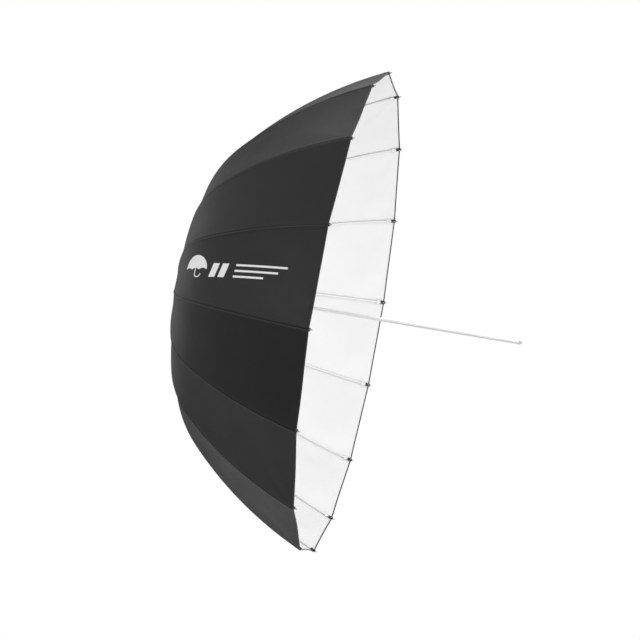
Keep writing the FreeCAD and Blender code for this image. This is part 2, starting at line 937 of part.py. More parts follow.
kept = [
    shaft,
    plug,
    notch,
    crown_wire,
    cap,
    crown_pin,
    stop_clip,
    runner,
    runner_wire,
    lever,
    lock_pin,
    lock_spring,
]
for number in range(int(size("rib_count"))):
    groups = (
        ("rib", [rod, root_fitting, saddle, tip, tip_pin], 0.0),
        ("stretcher", [bar, rivet], 0.0),
        ("gore", [panel], 0.5),
    )
    for name, pieces, share in groups:
        group = doc.addObject("Part::Compound", f"{name}_{number + 1:02d}")
        group.Links = pieces
        group.Placement = Placement(
            Vector(), Rotation(Vector(1, 0, 0), -step * (number + share))
        )
        kept.append(group)

doc.recompute()
for thing in doc.Objects:
    if "Invalid" in thing.State or "Error" in thing.State:
        raise RuntimeError(f"{thing.Name} failed: {thing.State}")
for thing in kept:
    if thing.Shape.isNull() or not thing.Shape.isValid():
        raise RuntimeError(f"{thing.Label} has no valid shape")

os.makedirs("parts", exist_ok=True)
for thing in kept:
    thing.Shape.exportStep(f"parts/{thing.Label}.step")
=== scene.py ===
import math
import random

import bpy
from mathutils import Matrix, Vector


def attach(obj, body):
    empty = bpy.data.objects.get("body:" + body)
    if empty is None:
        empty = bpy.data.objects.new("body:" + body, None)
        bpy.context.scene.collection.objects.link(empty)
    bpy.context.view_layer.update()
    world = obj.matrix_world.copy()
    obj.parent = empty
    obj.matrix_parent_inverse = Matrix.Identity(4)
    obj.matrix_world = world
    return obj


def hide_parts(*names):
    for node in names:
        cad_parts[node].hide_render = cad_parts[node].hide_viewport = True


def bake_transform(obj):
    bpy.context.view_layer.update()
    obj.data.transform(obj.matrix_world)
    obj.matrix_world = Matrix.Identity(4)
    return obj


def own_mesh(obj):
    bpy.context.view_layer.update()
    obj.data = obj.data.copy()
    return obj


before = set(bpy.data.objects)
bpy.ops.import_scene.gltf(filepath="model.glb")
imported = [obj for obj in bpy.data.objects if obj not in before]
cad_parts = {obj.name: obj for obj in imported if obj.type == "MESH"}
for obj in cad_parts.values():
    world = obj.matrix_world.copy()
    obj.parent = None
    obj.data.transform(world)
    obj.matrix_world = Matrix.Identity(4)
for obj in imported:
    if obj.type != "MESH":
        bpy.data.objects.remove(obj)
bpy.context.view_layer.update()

# ---------------------------------------------------------------- sizes, in metres
RIBS = 16
STEP = math.radians(360 / RIBS)
# the cloth's outer surface over a rib: three tangent arcs from the crown to the rim,
# each with its radius and its turn in degrees
APEX_X, APEX_R = -0.6574, 0.012
APEX_HEADING = math.radians(84.1)
ARCS = ((1.077, 11.95), (0.2816, 27.11), (0.8515, 21.8))
CLOTH_THICK = 0.0006
CLOTH_START_R = 0.0125
ROD_DEPTH = 0.0038
ROD_R = 0.002
HINGE_R = 0.014
SADDLE_PLACE = 0.190
# the cloth between two ribs sags inwards by this share of the radius
SEAM_SAG = 0.006
HEM_BACK, HEM_FRONT, HEM_HALF_THICK = 0.0023, 0.0008, 0.00095
# how far the rim curves in between two ribs
SCALLOP = 0.0012


# ---------------------------------------------------------------- the meridian
def arcs(depth):
    """Centre, radius, first heading and turn of each arc at a depth inside the cloth."""
    heading = APEX_HEADING
    x, r = APEX_X, APEX_R
    found = []
    for radius, degrees in ARCS:
        turn = math.radians(degrees)
        cx = x + radius * math.sin(heading)
        cr = r - radius * math.cos(heading)
        found.append((cx, cr, radius - depth, heading, turn))
        heading -= turn
        x = cx - radius * math.sin(heading)
        r = cr + radius * math.cos(heading)
    return found


def meridian(distance, depth=0.0):
    """X, radius and heading at a distance along the meridian."""
    parts = arcs(depth)
    for place, (cx, cr, radius, heading, turn) in enumerate(parts):
        if distance <= radius * turn or place == len(parts) - 1:
            now = heading - distance / radius
            return cx - radius * math.sin(now), cr + radius * math.cos(now), now
        distance -= radius * turn


def length_of(depth=0.0):
    """Length of the whole meridian at a depth inside the cloth."""
    return sum(radius * turn for _, _, radius, _, turn in arcs(depth))


def distance_at(wanted, depth=0.0):
    """Distance along the meridian at which it has the wanted radius."""
    low, high = 0.0, length_of(depth)
    for _ in range(50):
        middle = (low + high) / 2
        if meridian(middle, depth)[1] < wanted:
            low = middle
        else:
            high = middle
    return low


def around(steps):
    """The turn about X that takes +Z to a rib's place, counted in steps."""
    return Matrix.Rotation(-steps * STEP, 4, "X")


def smooth(low, high, value):
    """A soft step from 0 to 1 between two values."""
    share = min(1.0, max(0.0, (value - low) / (high - low)))
    return share * share * (3 - 2 * share)


# ---------------------------------------------------------------- materials
def new_material(name):
    """An empty material with one principled shader."""
    material = bpy.data.materials.new(name)
    material.use_nodes = True
    tree = material.node_tree
    tree.nodes.clear()
    out = tree.nodes.new("ShaderNodeOutputMaterial")
    shader = tree.nodes.new("ShaderNodeBsdfPrincipled")
    tree.links.new(shader.outputs["BSDF"], out.inputs["Surface"])
    return material, tree, shader


def maths(tree, operation, first, second=None, clamp=False):
    """One sum on numbers or sockets."""
    node = tree.nodes.new("ShaderNodeMath")
    node.operation = operation
    node.use_clamp = clamp
    for place, value in enumerate((first, second)):
        if value is None:
            continue
        if isinstance(value, (int, float)):
            node.inputs[place].default_value = value
        else:
            tree.links.new(value, node.inputs[place])
    return node.outputs[0]


def noise(tree, vector, scale, detail=3.0, rough=0.5, stretch=None):
    if stretch is not None:
        mapping = tree.nodes.new("ShaderNodeMapping")
        mapping.inputs["Scale"].default_value = stretch
        tree.links.new(vector, mapping.inputs["Vector"])
        vector = mapping.outputs["Vector"]
    node = tree.nodes.new("ShaderNodeTexNoise")
    node.inputs["Scale"].default_value = scale
    node.inputs["Detail"].default_value = detail
    node.inputs["Roughness"].default_value = rough
    tree.links.new(vector, node.inputs["Vector"])
    return node.outputs["Fac"]


def ramp(tree, factor, stops):
    node = tree.nodes.new("ShaderNodeValToRGB")
    elements = node.color_ramp.elements
    while len(elements) < len(stops):
        elements.new(0.5)
    for element, (place, colour) in zip(elements, stops):
        element.position = place
        element.color = (*colour, 1)
    tree.links.new(factor, node.inputs["Fac"])
    return node.outputs["Color"]


def level(tree, factor, low, high, from_low=0.0, from_high=1.0):
    """Maps a value from one range to another and stops it at both ends."""
    node = tree.nodes.new("ShaderNodeMapRange")
    node.inputs["From Min"].default_value = from_low
    node.inputs["From Max"].default_value = from_high
    node.inputs["To Min"].default_value = low
    node.inputs["To Max"].default_value = high
    tree.links.new(factor, node.inputs["Value"])
    return node.outputs["Result"]


def bump(tree, height, strength, distance, under=None):
    node = tree.nodes.new("ShaderNodeBump")
    node.inputs["Strength"].default_value = strength
    node.inputs["Distance"].default_value = distance
    tree.links.new(height, node.inputs["Height"])
    if under is not None:
        tree.links.new(under, node.inputs["Normal"])
    return node.outputs["Normal"]


def weave(tree, uv, pitch):
    """Height of a plain weave: threads along both directions of the cloth."""
    parts = tree.nodes.new("ShaderNodeSeparateXYZ")
    tree.links.new(uv, parts.inputs[0])
    across = maths(tree, "MULTIPLY", parts.outputs["X"], 2 * math.pi / pitch)
    along = maths(tree, "MULTIPLY", parts.outputs["Y"], 2 * math.pi / pitch)
    wave_one = maths(tree, "SINE", across)
    wave_two = maths(tree, "SINE", along)
    crossed = maths(tree, "MULTIPLY", wave_one, wave_two)
    lifted = maths(tree, "MULTIPLY", crossed, 0.5)
    return maths(tree, "ADD", lifted, 0.5), parts


def attribute(tree, name):
    node = tree.nodes.new("ShaderNodeAttribute")
    node.attribute_name = name
    return node.outputs["Fac"]


STITCH_PITCH, STITCH_HALF_WIDTH = 0.0032, 0.00035
STITCH_ROWS = (0.0022, 0.0058)


def stitches(tree, parts, edge, place):
    """A row of stitches at a distance from a seam, as a mask."""
    near = maths(tree, "SUBTRACT", edge, place)
    near = maths(tree, "ABSOLUTE", near)
    row = level(tree, near, 1.0, 0.0, STITCH_HALF_WIDTH * 0.6, STITCH_HALF_WIDTH * 1.4)
    run = maths(tree, "DIVIDE", parts.outputs["Y"], STITCH_PITCH)
    run = maths(tree, "FRACT", run)
    run = maths(tree, "SUBTRACT", run, 0.5)
    run = maths(tree, "ABSOLUTE", run)
    on = level(tree, run, 1.0, 0.0, 0.3, 0.4)
    return maths(tree, "MULTIPLY", row, on, clamp=True)


# how dark the painted shade in a seam's groove is, how pale the painted sheen on its
# folded ridge is, and where that sheen lies
SEAM_PAINTED_SHADE, RIDGE_PAINTED_SHEEN = 0.2, 2.0
RIDGE_PLACE = 0.0031


def paint_seam_shadow_and_sheen(tree, colour):
    """Paints shade into the cloth's colour in the groove of a seam, and paints a sheen on
    the folded ridge.
    """
    # painted shade along both seams of the panel
    first = attribute(tree, "from_first_seam")
    first = level(tree, first, SEAM_PAINTED_SHADE, 1.0, 0.0005, 0.0012)
    second = attribute(tree, "from_second_seam")
    second = level(tree, second, SEAM_PAINTED_SHADE, 1.0, 0.0005, 0.0015)
    dark = maths(tree, "MULTIPLY", first, second)
    # painted sheen on the folded ridge beside the second seam
    near = maths(tree, "SUBTRACT", attribute(tree, "from_second_seam"), RIDGE_PLACE)
    near = maths(tree, "ABSOLUTE", near)
    pale = level(tree, near, RIDGE_PAINTED_SHEEN, 1.0, 0.0005, 0.0016)
    both = maths(tree, "MULTIPLY", dark, pale)
    node = tree.nodes.new("ShaderNodeVectorMath")
    node.operation = "SCALE"
    tree.links.new(colour, node.inputs[0])
    tree.links.new(both, node.inputs["Scale"])
    return node.outputs["Vector"]


# the print, in metres on the panel: along it from the crown, and across from its middle
INK_EDGE = 0.00025
INK = (0.88, 0.88, 0.88)
SIGN_MIDDLE, SIGN_HALF_WIDTH, SIGN_HEIGHT, SIGN_FOOT = 0.333, 0.043, 0.030, -0.0085
SCALLOP_HEIGHT, SCALLOPS = 0.0035, 3
STICK, HOOK = 0.0034, 0.011
BLOCK_LOW, BLOCK_HIGH, BLOCK_SLANT = -0.0150, 0.0130, 0.35
# start, end, low edge, high edge and slant of each block and bar
PRINT_BLOCKS = (
    (0.392, 0.412, BLOCK_LOW, BLOCK_HIGH, BLOCK_SLANT),
    (0.422, 0.442, BLOCK_LOW, BLOCK_HIGH, BLOCK_SLANT),
    (0.468, 0.606, 0.0085, 0.0125, 0.0),
    (0.466, 0.584, -0.0030, 0.0010, 0.0),
    (0.464, 0.548, -0.0145, -0.0105, 0.0),
)


def bar_mask(tree, along, across, first, last, low, high, slant=0.0):
    """A straight or slanted block of ink, between two lengths and two heights."""
    if slant:
        shift = maths(tree, "MULTIPLY", across, slant)
        along = maths(tree, "SUBTRACT", along, shift)
    mask = level(tree, along, 0.0, 1.0, first - INK_EDGE, first + INK_EDGE)
    for value, start, end, place in (
        (along, 1.0, 0.0, last),
        (across, 0.0, 1.0, low),
        (across, 1.0, 0.0, high),
    ):
        side = level(tree, value, start, end, place - INK_EDGE, place + INK_EDGE)
        mask = maths(tree, "MULTIPLY", mask, side)
    return mask


def length_from(tree, along, across, middle, foot, wide, high):
    """Distance from a point, with both directions measured in their own unit."""
    right = maths(tree, "SUBTRACT", along, middle)
    right = maths(tree, "DIVIDE", right, wide)
    up = maths(tree, "SUBTRACT", across, foot)
    up = maths(tree, "DIVIDE", up, high)
    right = maths(tree, "MULTIPLY", right, right)
    up = maths(tree, "MULTIPLY", up, up)
    return maths(tree, "SQRT", maths(tree, "ADD", right, up))


def umbrella_mask(tree, along, across):
    """A plain umbrella sign: a scalloped dome on a stick with a hook."""
    dome = length_from(
        tree, along, across, SIGN_MIDDLE, 0.0, SIGN_HALF_WIDTH, SIGN_HEIGHT
    )
    dome = level(tree, dome, 1.0, 0.0, 0.985, 1.005)
    run = maths(tree, "SUBTRACT", along, SIGN_MIDDLE - SIGN_HALF_WIDTH)
    run = maths(tree, "MULTIPLY", run, SCALLOPS * math.pi / (2 * SIGN_HALF_WIDTH))
    scallop = maths(tree, "ABSOLUTE", maths(tree, "SINE", run))
    scallop = maths(tree, "MULTIPLY", scallop, SCALLOP_HEIGHT)
    above = maths(tree, "SUBTRACT", across, scallop)
    above = level(tree, above, 0.0, 1.0, -INK_EDGE, INK_EDGE)
    dome = maths(tree, "MULTIPLY", dome, above)
    half = STICK / 2
    left, right = SIGN_MIDDLE - half, SIGN_MIDDLE + half
    stick = bar_mask(tree, along, across, left, right, SIGN_FOOT, 0.006)
    hook = length_from(tree, along, across, SIGN_MIDDLE + HOOK, SIGN_FOOT, 1.0, 0.6)
    hook = maths(tree, "ABSOLUTE", maths(tree, "SUBTRACT", hook, HOOK))
    hook = level(tree, hook, 1.0, 0.0, half - INK_EDGE, half + INK_EDGE)
    under = level(tree, across, 1.0, 0.0, SIGN_FOOT - INK_EDGE, SIGN_FOOT + INK_EDGE)
    hook = maths(tree, "MULTIPLY", hook, under)
    sign = maths(tree, "MAXIMUM", dome, stick)
    return maths(tree, "MAXIMUM", sign, hook)


def print_mask(tree, parts):
    """A plain umbrella sign, two slanted blocks and three bars of different length."""
    across, along = parts.outputs["X"], parts.outputs["Y"]
    mask = umbrella_mask(tree, along, across)
    for first, last, low, high, slant in PRINT_BLOCKS:
        block = bar_mask(tree, along, across, first, last, low, high, slant)
        mask = maths(tree, "MAXIMUM", mask, block)
    return mask


def over(tree, below, mask, colour):
    """One flat colour laid over another where a mask says so."""
    node = tree.nodes.new("ShaderNodeMix")
    node.data_type = "RGBA"
    node.inputs["B"].default_value = (*colour, 1)
    tree.links.new(mask, node.inputs["Factor"])
    tree.links.new(below, node.inputs["A"])
    return node.outputs["Result"]


WEAVE_PITCH = 0.0008


def cloth_material(
    name,
    dark,
    light,
    rough,
    sheen,
    tint,
    speck,
    weave_height,
    thread,
    specular=0.5,
    seams=False,
    sign=False,
):
    """Woven cloth with a fine weave, slow shade changes and stitched seams."""
    material, tree, shader = new_material(name)
    uv = tree.nodes.new("ShaderNodeUVMap")
    uv.uv_map = "Cloth"
    height, parts = weave(tree, uv.outputs["UV"], WEAVE_PITCH)
    slow = noise(tree, uv.outputs["UV"], 9.0, 4.0, 0.55)
    fine = noise(tree, uv.outputs["UV"], 900.0, 2.0, 0.6)
    shade = maths(tree, "MULTIPLY", slow, 1 - speck)
    grain = maths(tree, "MULTIPLY", fine, speck)
    shade = maths(tree, "ADD", shade, grain)
    colour = ramp(tree, shade, ((0.3, dark), (0.7, light)))
    # painted shade in the seams' grooves and painted sheen on their folded ridges
    if seams:
        colour = paint_seam_shadow_and_sheen(tree, colour)
    first, second = (
        stitches(tree, parts, attribute(tree, "from_first_seam"), place)
        for place in STITCH_ROWS
    )
    mask = maths(tree, "ADD", first, second, clamp=True)
    colour = over(tree, colour, mask, thread)
    if sign:
        colour = over(tree, colour, print_mask(tree, parts), INK)
    tree.links.new(colour, shader.inputs["Base Color"])
    roughness = level(tree, slow, rough - 0.05, rough + 0.05, 0.3, 0.7)
    tree.links.new(roughness, shader.inputs["Roughness"])
    shader.inputs["Specular IOR Level"].default_value = specular
    shader.inputs["Sheen Weight"].default_value = sheen
    shader.inputs["Sheen Roughness"].default_value = 0.45
    shader.inputs["Sheen Tint"].default_value = (*tint, 1)
    normal = bump(tree, height, 0.35, weave_height)
    normal = bump(tree, mask, 0.5, 0.00025, normal)
    tree.links.new(normal, shader.inputs["Normal"])
    return material


def grained_material(name, dark, light, rough, grain_scale, grain_height, metallic=0.0):
    """Moulded plastic or plated metal: slow colour change and a fine grain."""
    material, tree, shader = new_material(name)
    place = tree.nodes.new("ShaderNodeTexCoord").outputs["Object"]
    slow = noise(tree, place, 60.0, 3.0)
    fine = noise(tree, place, grain_scale, 3.0, 0.6)
    colour = ramp(tree, slow, ((0.3, dark), (0.7, light)))
    tree.links.new(colour, shader.inputs["Base Color"])
    roughness = level(tree, fine, rough - 0.07, rough + 0.07, 0.3, 0.7)
    tree.links.new(roughness, shader.inputs["Roughness"])
    shader.inputs["Metallic"].default_value = metallic
    tree.links.new(bump(tree, fine, 0.4, grain_height), shader.inputs["Normal"])
    return material


def drawn_metal(name, dark, light, rough, stretch, depth=0.3):
    """Drawn tube or rolled strip: fine lines that run along the piece."""
    material, tree, shader = new_material(name)
    place = tree.nodes.new("ShaderNodeTexCoord").outputs["Object"]
    lines = noise(tree, place, 1.0, 4.0, 0.6, stretch)
    blotch = noise(tree, place, 45.0, 3.0)
    colour = ramp(tree, blotch, ((0.3, dark), (0.72, light)))
    tree.links.new(colour, shader.inputs["Base Color"])
    roughness = level(tree, lines, rough - 0.08, rough + 0.1, 0.3, 0.7)
    tree.links.new(roughness, shader.inputs["Roughness"])
    shader.inputs["Metallic"].default_value = 1.0
    tree.links.new(bump(tree, lines, depth, 0.00003), shader.inputs["Normal"])
    return material


BLACK = {
    "dark": (0.0116, 0.0113, 0.0117),
    "light": (0.0163, 0.0158, 0.0163),
    "rough": 0.55,
    "sheen": 0.04,
    "tint": (0.9, 0.9, 1.0),
    "speck": 0.35,
    "weave_height": 0.00012,
    "thread": (0.022, 0.022, 0.024),
    "specular": 0.26,
    # paints shade into the seams' grooves and sheen onto their ridges
    "seams": True,
}
black_cloth = cloth_material("black_cloth", **BLACK)
printed_cloth = cloth_material("printed_cloth", sign=True, **BLACK)
white_cloth = cloth_material(
    "white_cloth",
    dark=(0.69, 0.69, 0.695),
    light=(0.74, 0.74, 0.74),
    rough=0.72,
    sheen=0.1,
    tint=(1.0, 1.0, 1.0),
    speck=0.2,
    weave_height=0.0001,
    thread=(0.6, 0.6, 0.6),
)
black_binding = cloth_material(
    "black_binding",
    dark=(0.009, 0.009, 0.0095),
    light=(0.016, 0.016, 0.017),
    rough=0.62,
    sheen=0.15,
    tint=(0.85, 0.88, 1.0),
    speck=0.5,
    weave_height=0.00015,
    thread=(0.05, 0.05, 0.05),
)
black_plastic = grained_material(
    "black_plastic", (0.012, 0.012, 0.013), (0.02, 0.02, 0.022), 0.42, 2600.0, 0.00003
)
grey_plastic = grained_material(
    "grey_plastic", (0.40, 0.40, 0.405), (0.48, 0.48, 0.485), 0.4, 2400.0, 0.00003
)
pale_plastic = grained_material(
    "pale_plastic", (0.50, 0.50, 0.49), (0.58, 0.58, 0.57), 0.5, 2200.0, 0.00003
)
crown_plastic = grained_material(
    "crown_plastic", (0.015, 0.015, 0.016), (0.026, 0.026, 0.028), 0.36, 1900.0, 0.00004
)
bright_steel = grained_material(
    "bright_steel", (0.5, 0.5, 0.51), (0.64, 0.64, 0.65), 0.28, 1500.0, 0.00001, 1.0
)
shaft_metal = drawn_metal(
    "shaft_metal", (0.82, 0.82, 0.83), (0.89, 0.89, 0.895), 0.24, (6.0, 900.0, 900.0), 0.1
)
strip_steel = drawn_metal(
    "strip_steel", (0.5, 0.5, 0.52), (0.64, 0.64, 0.66), 0.34, (300.0, 300.0, 300.0)
)


def fibreglass():
    """Light grey glass-fibre rod: long pale streaks under a slight gloss."""
    material, tree, shader = new_material("rib_fibreglass")
    uv = tree.nodes.new("ShaderNodeUVMap")
    uv.uv_map = "Rod"
    streaks = noise(tree, uv.outputs["UV"], 1.0, 5.0, 0.65, (2400.0, 14.0, 1.0))
    slow = noise(tree, uv.outputs["UV"], 25.0, 2.0)
    shade = maths(tree, "MULTIPLY", streaks, 0.7)
    more = maths(tree, "MULTIPLY", slow, 0.3)
    shade = maths(tree, "ADD", shade, more)
    colour = ramp(tree, shade, ((0.3, (0.64, 0.638, 0.632)), (0.7, (0.735, 0.733, 0.725))))
    tree.links.new(colour, shader.inputs["Base Color"])
    roughness = level(tree, streaks, 0.3, 0.45, 0.3, 0.7)
    tree.links.new(roughness, shader.inputs["Roughness"])
    shader.inputs["Coat Weight"].default_value = 0.25
    shader.inputs["Coat Roughness"].default_value = 0.2
    tree.links.new(bump(tree, streaks, 0.25, 0.00004), shader.inputs["Normal"])
    return material


rod_material = fibreglass()


# ---------------------------------------------------------------- mesh helpers
def inside_out(mesh):
    """Whether the faces of a closed mesh look inwards: its signed volume says so."""
    points = [vertex.co - mesh.vertices[0].co for vertex in mesh.vertices]
    volume = 0.0
    for polygon in mesh.polygons:
        corners = [points[index] for index in polygon.vertices]
        for second, third in zip(corners[1:], corners[2:]):
            volume += corners[0].dot(second.cross(third))
    return volume < 0


def mesh_object(name, vertices, faces, materials, smooth_faces=True):
    """A new object from points and faces, with its faces turned outwards."""
    mesh = bpy.data.meshes.new(name)
    mesh.from_pydata(vertices, [], faces)
    if inside_out(mesh):
        mesh.flip_normals()
    mesh.update()
    for material in materials:
        mesh.materials.append(material)
    for polygon in mesh.polygons:
        polygon.use_smooth = smooth_faces
    made = bpy.data.objects.new(name, mesh)
    bpy.context.scene.collection.objects.link(made)
    return made


def round_edges(thing, width):
    """Rounds the sharp edges of a CAD piece with a bevel modifier."""
    modifier = thing.modifiers.new("edges", "BEVEL")
    modifier.width = width
    modifier.segments = 2
    modifier.limit_method = "ANGLE"
    modifier.angle_limit = math.radians(35)


def write_uv(made, layer_name, uvs):
    """Writes a UV layer from one pair for each vertex."""
    layer = made.data.uv_layers.new(name=layer_name)
    for loop in made.data.loops:
        layer.data[loop.index].uv = uvs[loop.vertex_index]


def write_values(made, name, values):
    """Writes one number for each vertex, which the cloth materials read."""
    edge = made.data.attributes.new(name, "FLOAT", "POINT")
    edge.data.foreach_set("value", values)


def lathe_points(profile, sides, start, turn):
    """Rings of points round a local X axis, from pairs of (along, radius)."""
    points = []
    for along, radius in profile:
        for side in range(sides):
            angle = 2 * math.pi * side / sides
            local = Vector((along, radius * math.cos(angle), radius * math.sin(angle)))
            points.append(start + turn @ local)
    return points


def ring_faces(rings, sides):
    """Faces that join rings of points, with both ends closed."""
    faces = []
    for ring in range(rings - 1):
        for side in range(sides):
            after = (side + 1) % sides
            faces.append(
                (
                    ring * sides + side,
                    (ring + 1) * sides + side,
                    (ring + 1) * sides + after,
                    ring * sides + after,
                )
            )
    faces.append(tuple(range(sides)))
    last = (rings - 1) * sides
    faces.append(tuple(last + side for side in reversed(range(sides))))
    return faces


def layer_faces(rows, columns):
    """Faces of two layers of points with a border between them, and their kinds.

    The kind is 0 on the first layer and the border, and 1 on the second layer.
    """
    wide = columns + 1
    layer = wide * (rows + 1)
    last = rows * wide
    faces, kinds = [], []
    for row in range(rows):
        for column in range(columns):
            a = row * wide + column
            b, c, d = a + 1, a + wide + 1, a + wide
            faces.append((a, b, c, d))
            kinds.append(0)
            faces.append((layer + a, layer + d, layer + c, layer + b))
            kinds.append(1)
    border = (
        [(column, column + 1) for column in range(columns)]
        + [(row * wide + columns, (row + 1) * wide + columns) for row in range(rows)]
        + [(last + column + 1, last + column) for column in reversed(range(columns))]
        + [((row + 1) * wide, row * wide) for row in reversed(range(rows))]
    )
    for a, b in border:
        faces.append((b, a, layer + a, layer + b))
        kinds.append(0)
    return faces, kinds


def lathe(name, profile, sides, start, turn, material):
    points = lathe_points(profile, sides, start, turn)
    return mesh_object(name, points, ring_faces(len(profile), sides), [material])


def facing(heading):
    """Turns local X to a heading in the XZ plane."""
    return Matrix.Rotation(-heading, 3, "Y")


# ---------------------------------------------------------------- cloth
CLOTH_LENGTH = length_of()
CLOTH_FIRST = distance_at(CLOTH_START_R)
HALF = STEP / 2
COLUMNS = 36
ROWS = 64
PRINT_PANEL = 13
# places across a panel, closer together at both seams
ACROSS = [0.5 - 0.5 * math.cos(math.pi * n / COLUMNS) for n in range(COLUMNS + 1)]


def end_of(share):
    """How far along the cloth reaches: the rim curves in a little between two ribs."""
    return CLOTH_LENGTH - SCALLOP * 4 * share * (1 - share)


WAVE_DEPTH = 0.00045
# one panel is pulled into clear folds that fan out from its corner, the others hardly
TENSE_PANEL = 2
TENSE_FOLD, SLACK_FOLD = 0.0026, 0.0005
FOLD_REACH, FOLD_COUNT = 0.16, 9


def panel_relief(number):
    """Slow shallow waves of one panel, different from the next, and its folds' depth."""
    chance = random.Random(100 + number)
    waves = [
        (
            chance.uniform(0.5, 1.6),
            chance.uniform(0.6, 2.2),
            chance.uniform(0, 2 * math.pi),
            chance.uniform(0.4, 1.0),
        )
        for _ in range(4)
    ]
    pull = TENSE_FOLD if number == TENSE_PANEL else SLACK_FOLD
    return waves, pull


def panel_width(r):
    """Chord between the two seams of a panel where the meridian has this radius."""
    return 2 * r * math.sin(HALF)


def cloth_point(share, distance, relief, depth):
    """A point of a panel in the panel's own frame, whose middle line is over +Z."""
    waves, pull = relief
    x, r, heading = meridian(distance)
    inward = Vector((math.sin(heading), 0.0, -math.cos(heading)))
    side = (2 * share - 1) * r * math.sin(HALF)
    point = Vector((x, side, r * math.cos(HALF)))
    middle = 4 * share * (1 - share)
    sag = SEAM_SAG * r * middle
    run = distance / CLOTH_LENGTH
    for turns, cross, phase, weight in waves:
        wave = math.sin(2 * math.pi * turns * run * 2 + phase)
        wave *= math.sin(math.pi * share * (1 + round(cross)) + phase * 0.3)
        sag += WAVE_DEPTH * weight * wave * middle * smooth(0.1, 0.5, run)
    # pulled folds fan out from the rim's corner at the first seam
    beside = share * panel_width(r)
    behind = max(0.0, CLOTH_LENGTH - distance)
    reach = math.hypot(beside, behind)
    angle = math.atan2(behind, beside)
    fade = smooth(0.0, 0.06, reach) * math.exp(-((reach / FOLD_REACH) ** 2))
    fan = math.sin(2 * angle) * math.sin(FOLD_COUNT * angle + waves[0][2])
    sag += pull * fade * fan * (1 - share)
    return point + inward * (sag + depth)


GROOVE_DEPTH, GROOVE_WIDTH = 0.0011, 0.0012
# the ridge beside the second seam: its height, and the distances where it rises and falls
RIDGE_HEIGHT = 0.0008
RIDGE_RISE, RIDGE_FALL = (0.0010, 0.0018), (0.0042, 0.0054)
# groove and ridge fade near the crown, where the panel is narrower than this
FULL_WIDTH = 0.03


def outer_depth(share, r):
    """The outer face dips at the seam, and stands up where the seam is folded flat."""
    width = panel_width(r)
    first, second = share * width, (1 - share) * width
    groove = math.exp(-((first / GROOVE_WIDTH) ** 2))
    groove += math.exp(-((second / GROOVE_WIDTH) ** 2))
    ridge = smooth(*RIDGE_RISE, second) * (1 - smooth(*RIDGE_FALL, second))
    room = min(1.0, width / FULL_WIDTH)
    return (GROOVE_DEPTH * groove - RIDGE_HEIGHT * ridge) * room


def blend_weights(made, shares):
    """Bakes the object's transform into its mesh while each vertex lies at its share
    across the panel, then puts the vertices back.
    """
    kept = [vertex.co.copy() for vertex in made.data.vertices]
    for vertex, share in zip(made.data.vertices, shares):
        vertex.co = (share, 0.0, 0.0)
    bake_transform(made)
    for vertex, place in zip(made.data.vertices, kept):
        vertex.co = place
    made.data.update()


# the outer face stands up a little where the rim is folded over and sewn down
RIM_FOLD_HEIGHT = 0.00025
RIM_FOLD_END = (0.0105, 0.0125)


def make_panel(number):
    """One panel of cloth, black outside and white inside."""
    relief = panel_relief(number)
    turn = around(number - 0.5)
    points, shares, firsts, seconds, uvs = [], [], [], [], []
    for face in (0, 1):
        for row in range(ROWS + 1):
            # rows come closer together towards the rim
            run = 1 - (1 - row / ROWS) ** 1.25
            for share in ACROSS:
                distance = CLOTH_FIRST + (end_of(share) - CLOTH_FIRST) * run
                r = meridian(distance)[1]
                outer = outer_depth(share, r)
                if face == 0:
                    edge = end_of(share) - distance
                    depth = outer - RIM_FOLD_HEIGHT * (1 - smooth(*RIM_FOLD_END, edge))
                else:
                    depth = CLOTH_THICK + max(0.0, outer)
                points.append(turn @ cloth_point(share, distance, relief, depth))
                width = panel_width(r)
                shares.append(share)
                firsts.append(share * width)
                seconds.append((1 - share) * width)
                uvs.append(((share - 0.5) * width, distance))
    faces, kinds = layer_faces(ROWS, COLUMNS)
    outside = printed_cloth if number == PRINT_PANEL else black_cloth
    name = f"canopy_panel_{number:02d}"
    made = mesh_object(name, points, faces, [outside, white_cloth])
    for polygon, kind in zip(made.data.polygons, kinds):
        polygon.material_index = kind
    write_uv(made, "Cloth", uvs)
    write_values(made, "from_first_seam", firsts)
    write_values(made, "from_second_seam", seconds)
    return made, shares


def make_hem(number):
    """The binding folded over the panel's rim, a flat roll."""
    relief = panel_relief(number)
    turn = around(number - 0.5)
    middle = (HEM_FRONT - HEM_BACK) / 2
    reach = (HEM_FRONT + HEM_BACK) / 2
    sides = 12
    section = []
    for place in range(sides):
        angle = 2 * math.pi * place / sides
        along = middle + reach * math.cos(angle)
        section.append((along, HEM_HALF_THICK * math.sin(angle)))
    points, shares, uvs, firsts = [], [], [], []
    for share in ACROSS:
        for along, height in section:
            distance = end_of(share) + along
            point = cloth_point(share, distance, relief, CLOTH_THICK / 2 - height)
            points.append(turn @ point)
            shares.append(share)
            uvs.append((along * 2 + height, share * 0.2))
            # between the rows of stitches, so that none falls on the roll
            firsts.append(0.0040 + along * 0.5)
    faces = ring_faces(len(ACROSS), sides)
    made = mesh_object(f"hem_{number:02d}", points, faces, [black_binding])
    write_uv(made, "Cloth", uvs)
    write_values(made, "from_first_seam", firsts)
    return made, shares


def panel_area():
    """Flat area of a panel: its width added up along the meridian."""
    total, count = 0.0, 200
    step = (CLOTH_LENGTH - CLOTH_FIRST) / count
    for place in range(count):
        distance = CLOTH_FIRST + step * (place + 0.5)
        total += panel_width(meridian(distance)[1]) * step
    return total


PANEL_AREA = panel_area()
RIM_CHORD = panel_width(meridian(CLOTH_LENGTH)[1])

for number in range(1, RIBS + 1):
    panel, shares = make_panel(number)
    hem, hem_shares = make_hem(number)
    blend_weights(panel, shares)
    blend_weights(hem, hem_shares)
    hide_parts(f"gore_{number:02d}")


